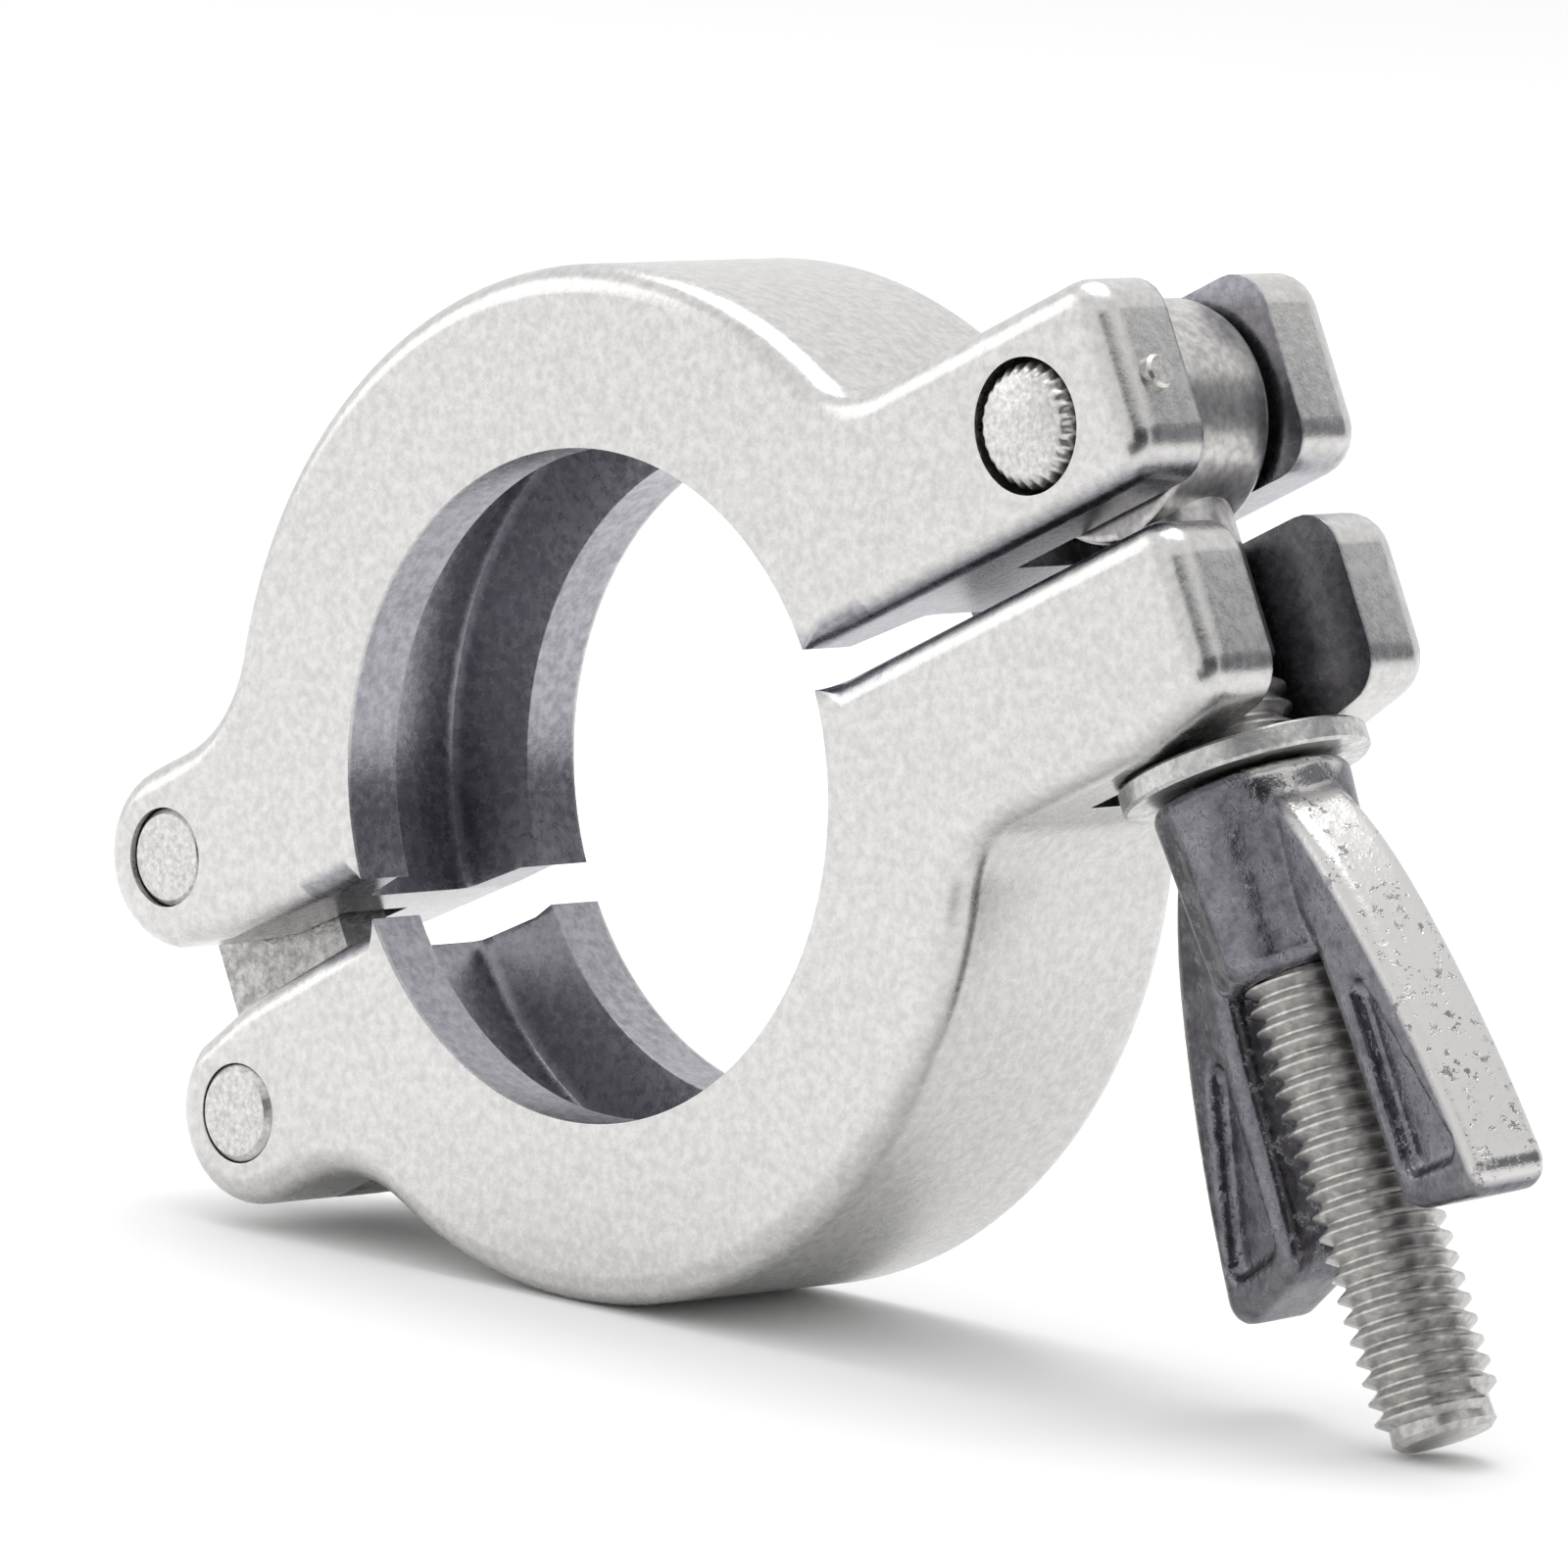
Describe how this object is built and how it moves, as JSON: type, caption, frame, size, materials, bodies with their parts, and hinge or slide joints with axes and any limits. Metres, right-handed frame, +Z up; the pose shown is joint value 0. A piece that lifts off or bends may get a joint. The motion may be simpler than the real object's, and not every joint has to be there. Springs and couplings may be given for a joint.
{
  "type": "kf flange clamp",
  "caption": "Hinged cast steel clamp for a KF25 flange pair: two grooved half-ring jaws on a link plate, closed by a swing eye bolt with a washer and wing nut.",
  "frame": {"origin": "centre of the closed clamp's lip bore, midway along it", "axes": "+Y along the bore axis towards the rear face, +Z up as the clamp rests on its lower jaw and bolt tip, the bolt ears towards +X"},
  "size_m": [0.0901, 0.0162, 0.0525],
  "materials": {
    "cast_jaw": "tumbled satin casting",
    "link_plate": "stamped plate, sheared edges",
    "pin_steel": "turned",
    "bolt_steel": "turned, threaded",
    "washer_steel": "punched",
    "nut_cast": "rough casting"
  },
  "bodies": {
    "lower_jaw": {"lower_jaw": "cast_jaw", "lower_hinge_pin": "pin_steel"},
    "link": {"hinge_link": "link_plate"},
    "upper_jaw": {"upper_jaw": "cast_jaw", "upper_hinge_pin": "pin_steel", "bolt_pin": "pin_steel", "lock_pin": "pin_steel"},
    "bolt": {"eye_bolt": "bolt_steel"},
    "washer": {"washer": "washer_steel"},
    "nut": {"wing_nut": "nut_cast"}
  },
  "joints": [
    {"name": "link_pivot", "type": "hinge", "parent": "lower_jaw", "child": "link", "pos_m": [-0.02257, 0, -0.01926], "axis": [0, -1, 0], "range_deg": [0, 6.2]},
    {"name": "jaw_pivot", "type": "hinge", "parent": "link", "child": "upper_jaw", "pos_m": [-0.02874, 0, -0.00736], "axis": [0, -1, 0], "range_deg": [0, 6.2]},
    {"name": "bolt_swing", "type": "hinge", "parent": "upper_jaw", "child": "bolt", "pos_m": [0.02725, 0, 0.02044], "axis": [0, -1, 0], "range_deg": [0, 110]},
    {"name": "washer_slide", "type": "slide", "parent": "bolt", "child": "washer", "axis": [0.4605, 0, -0.8877], "range_m": [0, 0.014]},
    {"name": "nut_spin", "type": "hinge", "parent": "washer", "child": "nut", "pos_m": [0.03904, 0, -0.00228], "axis": [-0.4605, 0, 0.8877], "range_deg": [0, 5040]}
  ],
  "couplings": [
    {"joint": "washer_slide", "follows": "nut_spin", "m_per_rad": 0.00015915},
    {"joint": "link_pivot", "follows": "nut_spin", "ratio": 0.0012302},
    {"joint": "jaw_pivot", "follows": "nut_spin", "ratio": 0.0012302}
  ]
}
